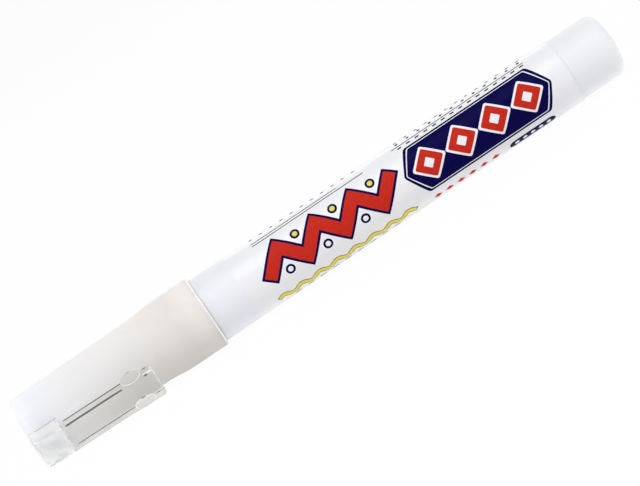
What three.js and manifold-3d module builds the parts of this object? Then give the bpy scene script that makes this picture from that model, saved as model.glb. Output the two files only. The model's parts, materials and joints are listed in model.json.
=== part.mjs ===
// Felt-tip eraser marker: a white barrel with a wrapped film label and a tail plug, a push-on
// translucent cap with a clear pocket clip, and inside them a nib holder, a chisel nib,
// a fibre reservoir in its film sleeve and the inner cap that keeps the nib moist.
// Millimetres, +Z up. In the pen group X is the pen's axis: the barrel's shoulder is at x = 0,
// the cap runs towards -X and the tail towards +X. The clip stands out along -Y.

import * as THREE from 'three';
import { mergeVertices } from 'three/addons/utils/BufferGeometryUtils.js';
import Module from 'manifold-3d';

const wasm = await Module();
wasm.setup();

// Facets
const roundSides = 40;
const curveSteps = 3;
const flareSteps = 6;
const weldDistance = 1e-4;

// Clearances between pieces
const seamGap = 0.2;
const seatGap = 0.3;
const pressGap = 0.1;
const saddleGap = 0.15;

// Barrel
const barrelDiameter = 13.85;
const barrelLength = 84.5;
const barrelWall = 1.2;
const barrelEdgeRound = 0.25;
const shoulderStep = 0.675;
const neckLength = 12.9;
const neckChamfer = 0.4;
const boreStep = 0.325;
const boreStepInset = 2.0;
const boreStepLength = 1.0;
const snapBeadClearance = 0.08;
const snapBeadLength = 1.2;
const snapBeadInset = 4.0;
const ribCount = 6;
const ribWidth = 0.8;
const ribEndGap = 1.0;
const ribRootDepth = 0.5;

// Label
const labelInset = 8.0;
const labelTailInset = 0.5;
const labelThickness = 0.1;
const labelClearance = 0.05;
const labelSeamWidth = 0.4;

// Tail plug
const tailLength = 10.6;
const tailStep = 0.24;
const tailRound = 2.4;
const tailCrown = 0.3;
const tailFlatDiameter = 5.2;
const tailEdgeRound = 0.2;
const tailSpigotLength = 8.0;
const tailSpigotChamfer = 0.5;
const tailWall = 1.2;
const tailEndWall = 2.2;

// Nib holder
const holderSpigotLength = 9.0;
const holderSpigotWall = 1.4;
const holderSpigotChamfer = 0.4;
const holderSocketDepth = 5.0;
const flangeThickness = 1.2;
const flangeStep = 0.25;
const noseLandLength = 4.2;
const noseConeLength = 6.0;
const noseTipWall = 1.0;
const noseTipRound = 0.4;
const ventCount = 3;
const ventWidth = 0.6;
const ventDepth = 0.45;

// Nib
const nibDiameter = 3.4;
const nibClearance = 0.15;
const nibExposedLength = 6.0;
const nibInReservoir = 6.0;
const nibTaperLength = 5.0;
const nibEdgeThickness = 0.9;
const nibSlantLength = 1.4;
const nibRearTaper = 1.0;

// Reservoir
const reservoirClearance = 0.15;
const ribClearance = 0.2;
const sleeveThickness = 0.15;
const sleeveClearance = 0.1;
const sleeveInset = 0.4;
const reservoirChamfer = 0.3;

// Cap
const capClearance = 0.2;
const capWall = 1.2;
const capEndWall = 1.2;
const capEndRound = 1.6;
const capDraftDegrees = 0.45;
const capLipLength = 8.0;
const capFlareStep = 0.45;
const capFlareLength = 6.0;
const capLipRound = 0.3;
const capLeadIn = 0.3;
const capBoreOverrun = 0.5;

// Inner cap
const innerCapClearance = 0.25;
const innerCapWall = 0.9;
const innerCapMouthGap = 0.9;
const innerCapLeadIn = 0.4;
const sealClearance = 0.2;
const nibHeadroom = 5.4;
const septumThickness = 0.9;
const skirtDepth = 4.4;

// Pocket clip
const clipLength = 27.5;
const clipWidth = 6.2;
const clipThickness = 2.35;
const clipGap = 1.72;
const clipLeanDegrees = 1.6;
const clipFootLength = 6.5;
const clipFootRound = 1.0;
const clipWebRound = 0.6;
const clipTipCornerRadius = 0.8;
const clipTipRound = 0.7;
const clipTipInnerRound = 0.4;
const clipBumpRadius = 2.25;
const clipBumpFromTip = 4.6;
const clipBumpClearance = 0.15;
const clipBumpOverhang = 0.06;
const clipCrownHeight = 0.3;
const clipCrownRunOut = 4.0;
const tenonRearInset = 1.2;
const tenonFrontInset = 1.7;
const tenonSideInset = 0.875;
const tenonRecess = 0.2;
const tenonRoot = 0.6;
const slotClearance = 0.25;

// Radii that follow from the driving dimensions
const barrelRadius = barrelDiameter / 2;
const labelSeatRadius = barrelRadius - labelThickness - labelClearance;
const boreRadius = labelSeatRadius - barrelWall;
const neckRadius = barrelRadius - shoulderStep;
const neckBoreRadius = boreRadius - boreStep;
const sleeveRadius = neckBoreRadius - reservoirClearance;
const fibreRadius = sleeveRadius - sleeveThickness - sleeveClearance;
const nibRadius = nibDiameter / 2;
const nibBoreRadius = nibRadius + nibClearance;
const tailRadius = barrelRadius - tailStep;
const capDraft = THREE.MathUtils.degToRad(capDraftDegrees);
const capBoreRadius = neckRadius + capClearance;
const snapBeadHeight = capClearance - snapBeadClearance;
const capLipRadius = capBoreRadius + capWall;
const capWaistRadius = capLipRadius - capFlareStep;

// Stations along the axis, from the tail to the cap's closed end
const tailFrontX = barrelLength + seamGap;
const tailEndX = tailFrontX + tailLength;
const tailSpigotX = barrelLength - tailSpigotLength;
const reservoirRearX = tailSpigotX - seatGap;
const holderRearX = holderSpigotLength - neckLength;
const reservoirFrontX = holderRearX + seatGap;
const nibRearX = reservoirFrontX + nibInReservoir;
const flangeRearX = -neckLength - seamGap;
const flangeFrontX = flangeRearX - flangeThickness;
const landFrontX = flangeFrontX - noseLandLength;
const noseTipX = landFrontX - noseConeLength;
const nibTipX = noseTipX - nibExposedLength;
const septumFrontX = nibTipX - nibHeadroom;
const septumRearX = septumFrontX - septumThickness;
const innerCapRearX = septumRearX - skirtDepth;
const innerCapMouthX = flangeFrontX - innerCapMouthGap;
const capFloorX = innerCapRearX - seatGap;
const capEndX = capFloorX - capEndWall;
const capLipX = -seamGap;
const capLipTopX = capLipX - capLipLength;
const capWaistX = capLipTopX - capFlareLength;
const capBoreTopX = flangeFrontX - capBoreOverrun;

// The cap's outer radius: drafted as far as the waist, then flared to the lip
function capRadiusAt(x) {
  const draft = Math.max(capWaistX - x, 0) * Math.tan(capDraft);
  const flare = capFlareStep * THREE.MathUtils.smoothstep(x, capWaistX, capLipTopX);
  return capWaistRadius - draft + flare;
}

const capEndRadius = capRadiusAt(capEndX);
const innerCapRadius = capRadiusAt(capFloorX) - capWall - innerCapClearance;
const innerCapBoreRadius = innerCapRadius - innerCapWall;
const noseLandRadius = innerCapBoreRadius - sealClearance;
const noseTipRadius = nibBoreRadius + noseTipWall;

// Solids of revolution: a path of (radius, x), turned about the X axis
function revolve(path) {
  const geometry = new THREE.LatheGeometry(path.getPoints(curveSteps), roundSides);
  return geometry.rotateZ(-Math.PI / 2);
}

function boxAt(lengthX, widthY, heightZ, x, y, z) {
  return new THREE.BoxGeometry(lengthX, widthY, heightZ).translate(x, y, z);
}

// Copies of a box round the X axis, starting from one that stands on the +Z side
function boxesRound(count, makeBox) {
  return Array.from({ length: count }, (_, i) => makeBox().rotateX((2 * Math.PI * i) / count));
}

function solidFrom(geometry) {
  const bare = new THREE.BufferGeometry();
  bare.setAttribute('position', geometry.getAttribute('position'));
  bare.setIndex(geometry.index);
  const welded = mergeVertices(bare, weldDistance);
  const mesh = new wasm.Mesh({
    numProp: 3,
    vertProperties: new Float32Array(welded.attributes.position.array),
    triVerts: new Uint32Array(welded.index.array),
  });
  return new wasm.Manifold(mesh);
}

function geometryFrom(solid) {
  const mesh = solid.getMesh();
  const geometry = new THREE.BufferGeometry();
  geometry.setAttribute('position', new THREE.BufferAttribute(mesh.vertProperties, mesh.numProp));
  geometry.setIndex(new THREE.BufferAttribute(mesh.triVerts, 1));
  geometry.computeVertexNormals();
  return geometry;
}

function combine(geometry, others, operation) {
  const start = solidFrom(geometry);
  return geometryFrom(others.reduce((solid, other) => solid[operation](solidFrom(other)), start));
}

function unite(geometry, others) {
  return combine(geometry, others, 'add');
}

function cut(geometry, cutters) {
  return combine(geometry, cutters, 'subtract');
}

function common(geometry, others) {
  return combine(geometry, others, 'intersect');
}

// Barrel: tube with a stepped neck, a shallow seat for the label and ribs that centre the reservoir
function barrelGeometry() {
  const beadX = -snapBeadInset;
  const path = new THREE.Path();
  path.moveTo(neckBoreRadius, -neckLength);
  path.lineTo(neckRadius - neckChamfer, -neckLength);
  path.lineTo(neckRadius, -neckLength + neckChamfer);
  path.lineTo(neckRadius, beadX - snapBeadLength / 2);
  path.lineTo(neckRadius + snapBeadHeight, beadX);
  path.lineTo(neckRadius, beadX + snapBeadLength / 2);
  path.lineTo(neckRadius, 0);
  path.lineTo(barrelRadius - barrelEdgeRound, 0);
  path.absarc(barrelRadius - barrelEdgeRound, barrelEdgeRound, barrelEdgeRound, -Math.PI / 2, 0);
  path.lineTo(barrelRadius, labelInset);
  path.lineTo(labelSeatRadius, labelInset);
  path.lineTo(labelSeatRadius, barrelLength - labelTailInset);
  path.lineTo(barrelRadius, barrelLength - labelTailInset);
  path.lineTo(barrelRadius, barrelLength);
  path.lineTo(boreRadius, barrelLength);
  path.lineTo(boreRadius, boreStepInset + boreStepLength);
  path.lineTo(neckBoreRadius, boreStepInset);
  path.closePath();

  const ribStartX = boreStepInset + boreStepLength + ribEndGap;
  const ribLength = tailSpigotX - ribEndGap - ribStartX;
  const ribInnerRadius = sleeveRadius + ribClearance;
  const ribHeight = boreRadius + ribRootDepth - ribInnerRadius;
  const ribs = boxesRound(ribCount, () =>
    boxAt(ribLength, ribWidth, ribHeight, ribStartX + ribLength / 2, 0, ribInnerRadius + ribHeight / 2));
  return unite(revolve(path), ribs);
}

// Label: film tube in the barrel's label seat, with its butt seam at the back
function labelGeometry() {
  const innerRadius = labelSeatRadius + labelClearance;
  const frontX = labelInset + labelClearance;
  const rearX = barrelLength - labelTailInset - labelClearance;
  const path = new THREE.Path();
  path.moveTo(innerRadius, frontX);
  path.lineTo(innerRadius + labelThickness, frontX);
  path.lineTo(innerRadius + labelThickness, rearX);
  path.lineTo(innerRadius, rearX);
  path.closePath();
  const seam = boxAt(barrelLength, barrelRadius, labelSeamWidth, barrelLength / 2, barrelRadius, 0);
  return cut(revolve(path), [seam]);
}

// Tail plug: hollow spigot pressed into the bore, and a crowned end with a rounded edge
function tailPlugGeometry() {
  const spigotRadius = boreRadius - pressGap;
  const cavityRadius = spigotRadius - tailWall;
  const roundCentreX = tailEndX - tailCrown - tailRound;
  const path = new THREE.Path();
  path.moveTo(0, tailEndX - tailEndWall);
  path.lineTo(cavityRadius, tailEndX - tailEndWall);
  path.lineTo(cavityRadius, tailSpigotX);
  path.lineTo(spigotRadius - tailSpigotChamfer, tailSpigotX);
  path.lineTo(spigotRadius, tailSpigotX + tailSpigotChamfer);
  path.lineTo(spigotRadius, tailFrontX);
  path.lineTo(tailRadius - tailEdgeRound, tailFrontX);
  path.absarc(tailRadius - tailEdgeRound, tailFrontX + tailEdgeRound, tailEdgeRound, -Math.PI / 2, 0);
  path.absarc(tailRadius - tailRound, roundCentreX, tailRound, 0, Math.PI / 2);
  path.lineTo(tailFlatDiameter / 2, tailEndX);
  path.lineTo(0, tailEndX);
  return revolve(path);
}

// Nib holder: spigot in the neck, flange on the neck's rim, sealing land, cone, and a vented nib bore
function nibHolderGeometry() {
  const spigotRadius = neckBoreRadius - pressGap;
  const socketRadius = spigotRadius - holderSpigotWall;
  const socketX = holderRearX - holderSocketDepth;
  const flangeRadius = neckRadius - flangeStep;
  const path = new THREE.Path();
  path.moveTo(nibBoreRadius, noseTipX);
  path.lineTo(noseTipRadius - noseTipRound, noseTipX);
  path.absarc(noseTipRadius - noseTipRound, noseTipX + noseTipRound, noseTipRound, -Math.PI / 2, 0);
  path.lineTo(noseLandRadius, landFrontX);
  path.lineTo(noseLandRadius, flangeFrontX);
  path.lineTo(flangeRadius, flangeFrontX);
  path.lineTo(flangeRadius, flangeRearX);
  path.lineTo(spigotRadius, flangeRearX);
  path.lineTo(spigotRadius, holderRearX - holderSpigotChamfer);
  path.lineTo(spigotRadius - holderSpigotChamfer, holderRearX);
  path.lineTo(socketRadius, holderRearX);
  path.lineTo(socketRadius, socketX);
  path.lineTo(nibBoreRadius, socketX);
  path.closePath();

  const ventLength = holderRearX - noseTipX + seatGap;
  const ventHeight = nibBoreRadius + ventDepth;
  const vents = boxesRound(ventCount, () =>
    boxAt(ventLength, ventWidth, ventHeight, noseTipX + ventLength / 2 - seatGap, 0, ventHeight / 2));
  return cut(revolve(path), vents);
}

// An outline in (x, y) made into a slab that is centred on z = 0
function slab(shape, depth) {
  const options = { depth, bevelEnabled: false, curveSegments: 2 * curveSteps };
  return new THREE.ExtrudeGeometry(shape, options).translate(0, 0, -depth / 2);
}

// Nib: felt rod, flattened to an edge in one view and cut on a slant in the other
function nibGeometry() {
  const rod = new THREE.Path();
  rod.moveTo(0, nibTipX);
  rod.lineTo(nibRadius, nibTipX);
  rod.lineTo(nibRadius, nibRearX - nibRearTaper);
  rod.lineTo(nibRadius - nibRearTaper, nibRearX);
  rod.lineTo(0, nibRearX);

  const wedge = new THREE.Shape();
  wedge.moveTo(nibTipX, -nibEdgeThickness / 2);
  wedge.lineTo(nibTipX + nibTaperLength, -nibRadius);
  wedge.lineTo(nibTipX + nibTaperLength, -nibDiameter);
  wedge.lineTo(nibRearX, -nibDiameter);
  wedge.lineTo(nibRearX, nibDiameter);
  wedge.lineTo(nibTipX + nibTaperLength, nibDiameter);
  wedge.lineTo(nibTipX + nibTaperLength, nibRadius);
  wedge.lineTo(nibTipX, nibEdgeThickness / 2);
  wedge.closePath();

  const slant = new THREE.Shape();
  slant.moveTo(nibTipX, -nibRadius);
  slant.lineTo(nibTipX, -nibDiameter);
  slant.lineTo(nibRearX, -nibDiameter);
  slant.lineTo(nibRearX, nibDiameter);
  slant.lineTo(nibTipX + nibSlantLength, nibDiameter);
  slant.lineTo(nibTipX + nibSlantLength, nibRadius);
  slant.closePath();

  const wedgeSlab = slab(wedge, 2 * nibDiameter).rotateX(Math.PI / 2);
  return common(revolve(rod), [wedgeSlab, slab(slant, 2 * nibDiameter)]);
}

// Reservoir: fibre rod with a blind bore in front that takes the nib's rear end
function reservoirGeometry() {
  const boreEndX = nibRearX + seatGap;
  const path = new THREE.Path();
  path.moveTo(0, boreEndX);
  path.lineTo(nibBoreRadius, boreEndX);
  path.lineTo(nibBoreRadius, reservoirFrontX);
  path.lineTo(fibreRadius - reservoirChamfer, reservoirFrontX);
  path.lineTo(fibreRadius, reservoirFrontX + reservoirChamfer);
  path.lineTo(fibreRadius, reservoirRearX - reservoirChamfer);
  path.lineTo(fibreRadius - reservoirChamfer, reservoirRearX);
  path.lineTo(0, reservoirRearX);
  return revolve(path);
}

function sleeveGeometry() {
  const path = new THREE.Path();
  path.moveTo(sleeveRadius - sleeveThickness, reservoirFrontX + sleeveInset);
  path.lineTo(sleeveRadius, reservoirFrontX + sleeveInset);
  path.lineTo(sleeveRadius, reservoirRearX - sleeveInset);
  path.lineTo(sleeveRadius - sleeveThickness, reservoirRearX - sleeveInset);
  path.closePath();
  return revolve(path);
}

// The clip's tenon, and the slot in the cap that it sits in when grown by the slot's clearance
const tenonLength = clipFootLength - tenonRearInset - tenonFrontInset;
const tenonWidth = clipWidth - 2 * tenonSideInset;
const tenonX = capEndX + tenonRearInset + tenonLength / 2;
const tenonFootRadius = capRadiusAt(tenonX) - capWall + tenonRecess;
const tenonTopRadius = capRadiusAt(tenonX) + saddleGap + tenonRoot;

function tenonBox(growth) {
  const height = tenonTopRadius - tenonFootRadius + 2 * growth;
  const middleRadius = (tenonTopRadius + tenonFootRadius) / 2;
  return boxAt(tenonLength + 2 * growth, height, tenonWidth + 2 * growth, tenonX, -middleRadius, 0);
}

// Cap: closed drafted tube, flared over the neck, with a snap groove in the bore and the clip's slot
function capGeometry() {
  const grooveX = -snapBeadInset;
  const path = new THREE.Path();
  path.moveTo(0, capEndX);
  path.lineTo(capEndRadius - capEndRound, capEndX);
  path.absarc(capEndRadius - capEndRound, capEndX + capEndRound, capEndRound, -Math.PI / 2, 0);
  for (let i = 0; i <= flareSteps; i += 1) {
    const x = THREE.MathUtils.lerp(capWaistX, capLipTopX, i / flareSteps);
    path.lineTo(capRadiusAt(x), x);
  }
  path.lineTo(capLipRadius, capLipX - capLipRound);
  path.absarc(capLipRadius - capLipRound, capLipX - capLipRound, capLipRound, 0, Math.PI / 2);
  path.lineTo(capBoreRadius + capLeadIn, capLipX);
  path.lineTo(capBoreRadius, capLipX - capLeadIn);
  path.lineTo(capBoreRadius, grooveX + snapBeadLength / 2);
  path.lineTo(capBoreRadius + snapBeadHeight, grooveX);
  path.lineTo(capBoreRadius, grooveX - snapBeadLength / 2);
  path.lineTo(capBoreRadius, capBoreTopX);
  path.lineTo(capRadiusAt(capBoreTopX - capFlareLength) - capWall, capBoreTopX - capFlareLength);
  path.lineTo(capRadiusAt(capFloorX) - capWall, capFloorX);
  path.lineTo(0, capFloorX);
  return cut(revolve(path), [tenonBox(slotClearance)]);
}

// Inner cap: cup that closes round the nose, with a skirt behind its septum that stands on the cap's floor
function innerCapGeometry() {
  const path = new THREE.Path();
  path.moveTo(0, septumRearX);
  path.lineTo(innerCapBoreRadius, septumRearX);
  path.lineTo(innerCapBoreRadius, innerCapRearX);
  path.lineTo(innerCapRadius, innerCapRearX);
  path.lineTo(innerCapRadius, innerCapMouthX);
  path.lineTo(innerCapBoreRadius + innerCapLeadIn, innerCapMouthX);
  path.lineTo(innerCapBoreRadius, innerCapMouthX - innerCapLeadIn);
  path.lineTo(innerCapBoreRadius, septumFrontX);
  path.lineTo(0, septumFrontX);
  return revolve(path);
}

// Clip seen from the side: lengths run along the bar from the foot's end, heights from its inner face
const clipLean = THREE.MathUtils.degToRad(clipLeanDegrees);
const clipFootX = capEndX + clipFootLength;
const clipInnerRadius = capRadiusAt(clipFootX) + clipGap;
const crownHeight = clipThickness + clipCrownHeight;
const bumpMiddle = clipLength - clipBumpFromTip;
const bumpRise = (bumpMiddle - clipFootLength) * Math.sin(clipLean);
const bumpDepth = clipInnerRadius + bumpRise - capRadiusAt(capEndX + bumpMiddle) - clipBumpClearance;
const tipRise = (clipLength - clipTipCornerRadius - clipFootLength) * Math.sin(clipLean);
const clipCrownRadius = clipInnerRadius + tipRise + crownHeight * Math.cos(clipLean);

function clipSideShape() {
  const footDepth = clipGap + capEndRadius;
  const runOutStart = bumpMiddle - clipCrownRunOut;
  const runOutMiddle = bumpMiddle - clipCrownRunOut / 2;
  const up = Math.PI / 2;
  const shape = new THREE.Shape();
  shape.moveTo(0, -footDepth);
  shape.lineTo(clipFootLength, -footDepth);
  shape.lineTo(clipFootLength, -clipWebRound);
  shape.absarc(clipFootLength + clipWebRound, -clipWebRound, clipWebRound, Math.PI, up, true);
  shape.absarc(clipLength - clipTipInnerRound, clipTipInnerRound, clipTipInnerRound, -up, 0, false);
  shape.absarc(clipLength - clipTipRound, crownHeight - clipTipRound, clipTipRound, 0, up, false);
  shape.lineTo(bumpMiddle, crownHeight);
  shape.bezierCurveTo(runOutMiddle, crownHeight, runOutMiddle, clipThickness, runOutStart, clipThickness);
  shape.absarc(clipFootRound, clipThickness - clipFootRound, clipFootRound, up, Math.PI, false);
  shape.closePath();
  return shape;
}

// Bump: round bar across the clip, a little wider than the clip, that bears on the cap
function clipBumpShape() {
  const shape = new THREE.Shape();
  shape.absarc(bumpMiddle, clipBumpRadius - bumpDepth, clipBumpRadius, 0, 2 * Math.PI, false);
  return shape;
}

// Clip seen from outside: straight sides and a tip with rounded corners
function clipPlanShape() {
  const half = clipWidth / 2;
  const corner = clipTipCornerRadius;
  const shape = new THREE.Shape();
  shape.moveTo(-clipFootLength, -half);
  shape.lineTo(clipLength - corner, -half);
  shape.absarc(clipLength - corner, -half + corner, corner, -Math.PI / 2, 0, false);
  shape.absarc(clipLength - corner, half - corner, corner, 0, Math.PI / 2, false);
  shape.lineTo(-clipFootLength, half);
  shape.closePath();
  return shape;
}

// Clip: side and plan outlines crossed, bump added, leaned outwards, saddled to the cap, with its tenon
function clipGeometry() {
  const side = slab(clipSideShape(), 2 * clipWidth);
  const plan = slab(clipPlanShape(), 2 * (capLipRadius + clipCrownRadius)).rotateX(Math.PI / 2);
  const bump = slab(clipBumpShape(), clipWidth + 2 * clipBumpOverhang);
  const bar = unite(common(side, [plan]), [bump]);
  bar.translate(-clipFootLength, 0, 0);
  bar.rotateZ(clipLean);
  bar.translate(clipFootX, clipInnerRadius, 0);
  bar.rotateX(Math.PI);

  const saddle = new THREE.Path();
  saddle.moveTo(0, capEndX - clipFootLength);
  saddle.lineTo(capRadiusAt(capEndX - clipFootLength) + saddleGap, capEndX - clipFootLength);
  saddle.lineTo(capWaistRadius + saddleGap, capWaistX);
  saddle.lineTo(0, capWaistX);

  const trimX = capEndX - clipFootLength / 2;
  const endTrim = boxAt(clipFootLength, 4 * clipCrownRadius, 2 * clipWidth, trimX, 0, 0);
  return unite(cut(bar, [revolve(saddle), endTrim]), [tenonBox(0)]);
}

// Materials
function plastic(color, roughness, opacity = 1) {
  return new THREE.MeshStandardMaterial({
    color,
    roughness,
    metalness: 0,
    opacity,
    transparent: opacity < 1,
  });
}

const whitePlastic = plastic(0xf1f1f4, 0.3);
const filmPlastic = plastic(0xf4f4f8, 0.2);
const milkyPlastic = plastic(0xece9e6, 0.45, 0.8);
const clearPlastic = plastic(0xe4e4e2, 0.08, 0.35);
const softPlastic = plastic(0xf0f0ee, 0.5);
const felt = plastic(0xf3f1ea, 0.95);
const sleeveFilm = plastic(0xf2f4f6, 0.15, 0.5);

function node(name, geometry, material) {
  const mesh = new THREE.Mesh(geometry, material);
  mesh.name = name;
  return mesh;
}

// Assembly: the barrel stays, the cap pulls off along -X and carries the clip
const barrelGroup = new THREE.Group();
barrelGroup.add(
  node('barrel', barrelGeometry(), whitePlastic),
  node('label_film', labelGeometry(), filmPlastic),
  node('tail_plug', tailPlugGeometry(), whitePlastic),
  node('nib_holder', nibHolderGeometry(), softPlastic),
  node('nib', nibGeometry(), felt),
  node('fibre_reservoir', reservoirGeometry(), felt),
  node('reservoir_sleeve', sleeveGeometry(), sleeveFilm),
);

const clipGroup = new THREE.Group();
clipGroup.add(node('pocket_clip', clipGeometry(), clearPlastic));

const capGroup = new THREE.Group();
capGroup.add(
  node('cap_shell', capGeometry(), milkyPlastic),
  node('inner_cap', innerCapGeometry(), softPlastic),
  clipGroup,
);

// Rest: rolled until the clip's outer corner lies as low as the cap's lip, then set on the ground
const clipReach = Math.hypot(clipCrownRadius, clipWidth / 2);
const clipCornerAngle = Math.atan2(clipWidth / 2, clipCrownRadius);
const pen = new THREE.Group();
pen.add(barrelGroup, capGroup);
pen.rotation.x = Math.asin(capLipRadius / clipReach) - clipCornerAngle;
pen.updateMatrixWorld(true);

const extent = new THREE.Box3().setFromObject(pen, true);
const middle = extent.getCenter(new THREE.Vector3());
pen.position.set(-middle.x, -middle.y, -extent.min.z);

const marker = new THREE.Group();
marker.add(pen);

export default marker;
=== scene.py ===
"""Eraser marker: smooth pieces, materials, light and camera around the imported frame."""
import json
import math

import bmesh
import bpy
from mathutils import Matrix, Vector
from mathutils.geometry import delaunay_2d_cdt, tessellate_polygon


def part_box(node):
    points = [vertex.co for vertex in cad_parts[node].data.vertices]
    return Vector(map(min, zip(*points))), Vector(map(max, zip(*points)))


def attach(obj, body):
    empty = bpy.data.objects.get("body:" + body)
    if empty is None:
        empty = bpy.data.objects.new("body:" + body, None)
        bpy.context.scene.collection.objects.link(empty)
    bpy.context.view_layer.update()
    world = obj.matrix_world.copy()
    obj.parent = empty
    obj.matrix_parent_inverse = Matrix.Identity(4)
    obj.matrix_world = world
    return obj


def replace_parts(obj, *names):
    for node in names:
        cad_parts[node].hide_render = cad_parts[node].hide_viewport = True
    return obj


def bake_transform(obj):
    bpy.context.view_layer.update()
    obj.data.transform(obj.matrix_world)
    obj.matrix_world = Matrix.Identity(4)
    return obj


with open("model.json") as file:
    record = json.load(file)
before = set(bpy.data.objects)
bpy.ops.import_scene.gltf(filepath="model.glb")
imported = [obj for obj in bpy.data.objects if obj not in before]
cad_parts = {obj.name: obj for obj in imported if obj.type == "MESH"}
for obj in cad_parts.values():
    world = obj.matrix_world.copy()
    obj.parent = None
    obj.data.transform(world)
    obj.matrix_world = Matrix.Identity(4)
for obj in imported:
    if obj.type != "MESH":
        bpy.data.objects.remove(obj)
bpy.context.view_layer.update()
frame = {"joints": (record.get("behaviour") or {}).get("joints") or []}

MM = 0.001

# Pen frame: X along the axis with the barrel's shoulder at 0, A towards the clip, B across it.
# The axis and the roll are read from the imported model, so the pieces sit where the nodes are.
TAIL_END = 95.3
tail_low, tail_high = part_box("tail_plug")
PEN_ORIGIN = Vector((
    tail_high.x / MM - TAIL_END,
    (tail_low.y + tail_high.y) / 2 / MM,
    (tail_low.z + tail_high.z) / 2 / MM,
))
clip_joint = next(j for j in frame["joints"] if j["name"] == "clip_flex")
X_DIRECTION = Vector((1, 0, 0))
B_DIRECTION = Vector(clip_joint["axis"]).normalized()
A_DIRECTION = B_DIRECTION.cross(X_DIRECTION)

ROUND_STEPS = 160
FILLET_STEPS = 6
SHARP_ANGLE = math.radians(32)
FULL_TURN = 2 * math.pi
QUARTER_TURN = math.pi / 2
TINY = 1e-6
WELD_DISTANCE = 1e-8


def pen_point(x, a, b):
    """A point of the pen frame in millimetres, as a point of the row frame in metres."""
    return (PEN_ORIGIN + X_DIRECTION * x + A_DIRECTION * a + B_DIRECTION * b) * MM


def round_point(x, radius, angle):
    """A point round the axis; the angle starts at the clip and turns towards B."""
    return pen_point(x, radius * math.cos(angle), radius * math.sin(angle))


def new_object(name, vertices, faces, materials, face_slots=None):
    mesh = bpy.data.meshes.new(name)
    mesh.from_pydata(vertices, [], faces)
    for material in materials:
        mesh.materials.append(material)
    if face_slots:
        mesh.polygons.foreach_set("material_index", face_slots)
    made = bpy.data.objects.new(name, mesh)
    bpy.context.scene.collection.objects.link(made)
    return made


def smooth(made, angle=SHARP_ANGLE):
    """Outward faces, smooth shading, and sharp edges where the surface turns quickly."""
    work = bmesh.new()
    work.from_mesh(made.data)
    bmesh.ops.recalc_face_normals(work, faces=work.faces)
    work.to_mesh(made.data)
    work.free()
    made.data.polygons.foreach_set("use_smooth", [True] * len(made.data.polygons))
    made.data.set_sharp_from_angle(angle=angle)
    return made


def weld(made):
    """Joins the vertices that lie on one another."""
    work = bmesh.new()
    work.from_mesh(made.data)
    bmesh.ops.remove_doubles(work, verts=work.verts, dist=WELD_DISTANCE)
    work.to_mesh(made.data)
    work.free()
    return made


def ring_faces(first, count):
    """The faces between a ring of vertices, which starts at first, and the ring after it."""
    faces = []
    for i in range(count):
        after = (i + 1) % count
        faces.append([first + i, first + after, first + count + after, first + count + i])
    return faces


def filleted(points, closed=False):
    """A path of (x, radius, fillet) with an arc in place of each corner that has a fillet."""
    path = []
    count = len(points)
    for i, (x, radius, fillet) in enumerate(points):
        here = Vector((x, radius))
        if fillet <= 0 or (not closed and i in (0, count - 1)):
            path.append(tuple(here))
            continue
        before = Vector(points[i - 1][:2]) - here
        after = Vector(points[(i + 1) % count][:2]) - here
        half_angle = before.angle(after) / 2
        reach = fillet / math.tan(half_angle)
        start = here + before.normalized() * reach
        end = here + after.normalized() * reach
        bisector = (before.normalized() + after.normalized()).normalized()
        centre = here + bisector * (fillet / math.sin(half_angle))
        turn = (start - centre).angle_signed(end - centre)
        for step in range(FILLET_STEPS + 1):
            spin = Matrix.Rotation(-turn * step / FILLET_STEPS, 2)
            path.append(tuple(centre + spin @ (start - centre)))
    return path


def lathe(name, path, materials, closed=False, start=0.0, sweep=FULL_TURN, slot_of=None):
    """A path of (x, radius) turned about the pen's axis. A part turn gets flat ends."""
    full = sweep > FULL_TURN - TINY
    columns = ROUND_STEPS if full else ROUND_STEPS + 1
    vertices, rings = [], []
    for x, radius in path:
        if radius < TINY:
            rings.append([len(vertices)] * columns)
            vertices.append(round_point(x, 0, 0))
            continue
        rings.append(list(range(len(vertices), len(vertices) + columns)))
        for step in range(columns):
            vertices.append(round_point(x, radius, start + sweep * step / ROUND_STEPS))
    faces, slots = [], []
    for i in range(len(path) if closed else len(path) - 1):
        near, far = rings[i], rings[(i + 1) % len(path)]
        slot = slot_of(path[i], path[(i + 1) % len(path)]) if slot_of else 0
        for step in range(ROUND_STEPS):
            after = (step + 1) % columns
            corners = [near[step], near[after], far[after], far[step]]
            corners = list(dict.fromkeys(corners))
            if len(corners) > 2:
                faces.append(corners)
                slots.append(slot)
    if not full:
        faces += [[ring[0] for ring in rings], [ring[-1] for ring in reversed(rings)]]
        slots += [0, 0]
    return smooth(new_object(name, vertices, faces, materials, slots))


def boolean(made, operation, tool):
    """Cuts or joins another object into this one for good."""
    modifier = made.modifiers.new("cut", "BOOLEAN")
    modifier.operation = operation
    modifier.solver = "EXACT"
    modifier.object = tool
    graph = bpy.context.evaluated_depsgraph_get()
    mesh = bpy.data.meshes.new_from_object(made.evaluated_get(graph), depsgraph=graph)
    made.modifiers.remove(modifier)
    old = made.data
    made.data = mesh
    bpy.data.meshes.remove(old)
    bpy.data.objects.remove(tool)
    return smooth(made)


def pen_box(name, x_range, a_range, b_range, angle=0.0):
    """A box in the pen frame, turned about the axis."""
    turned = []
    for x in x_range:
        for a in a_range:
            for b in b_range:
                turned.append(pen_point(
                    x,
                    a * math.cos(angle) - b * math.sin(angle),
                    a * math.sin(angle) + b * math.cos(angle),
                ))
    faces = [(0, 1, 3, 2), (4, 6, 7, 5), (0, 4, 5, 1), (2, 3, 7, 6), (0, 2, 6, 4), (1, 5, 7, 3)]
    return new_object(name, turned, faces, [])


# Materials
WHITE = (1.0, 1.0, 1.0, 1)
NOISE_SPAN = (0.3, 0.7)
COLOUR_DRIFT = 0.12
GLOSS_DRIFT = 0.9
GLOSS_SPREAD = (0.85, 1.15)


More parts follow.
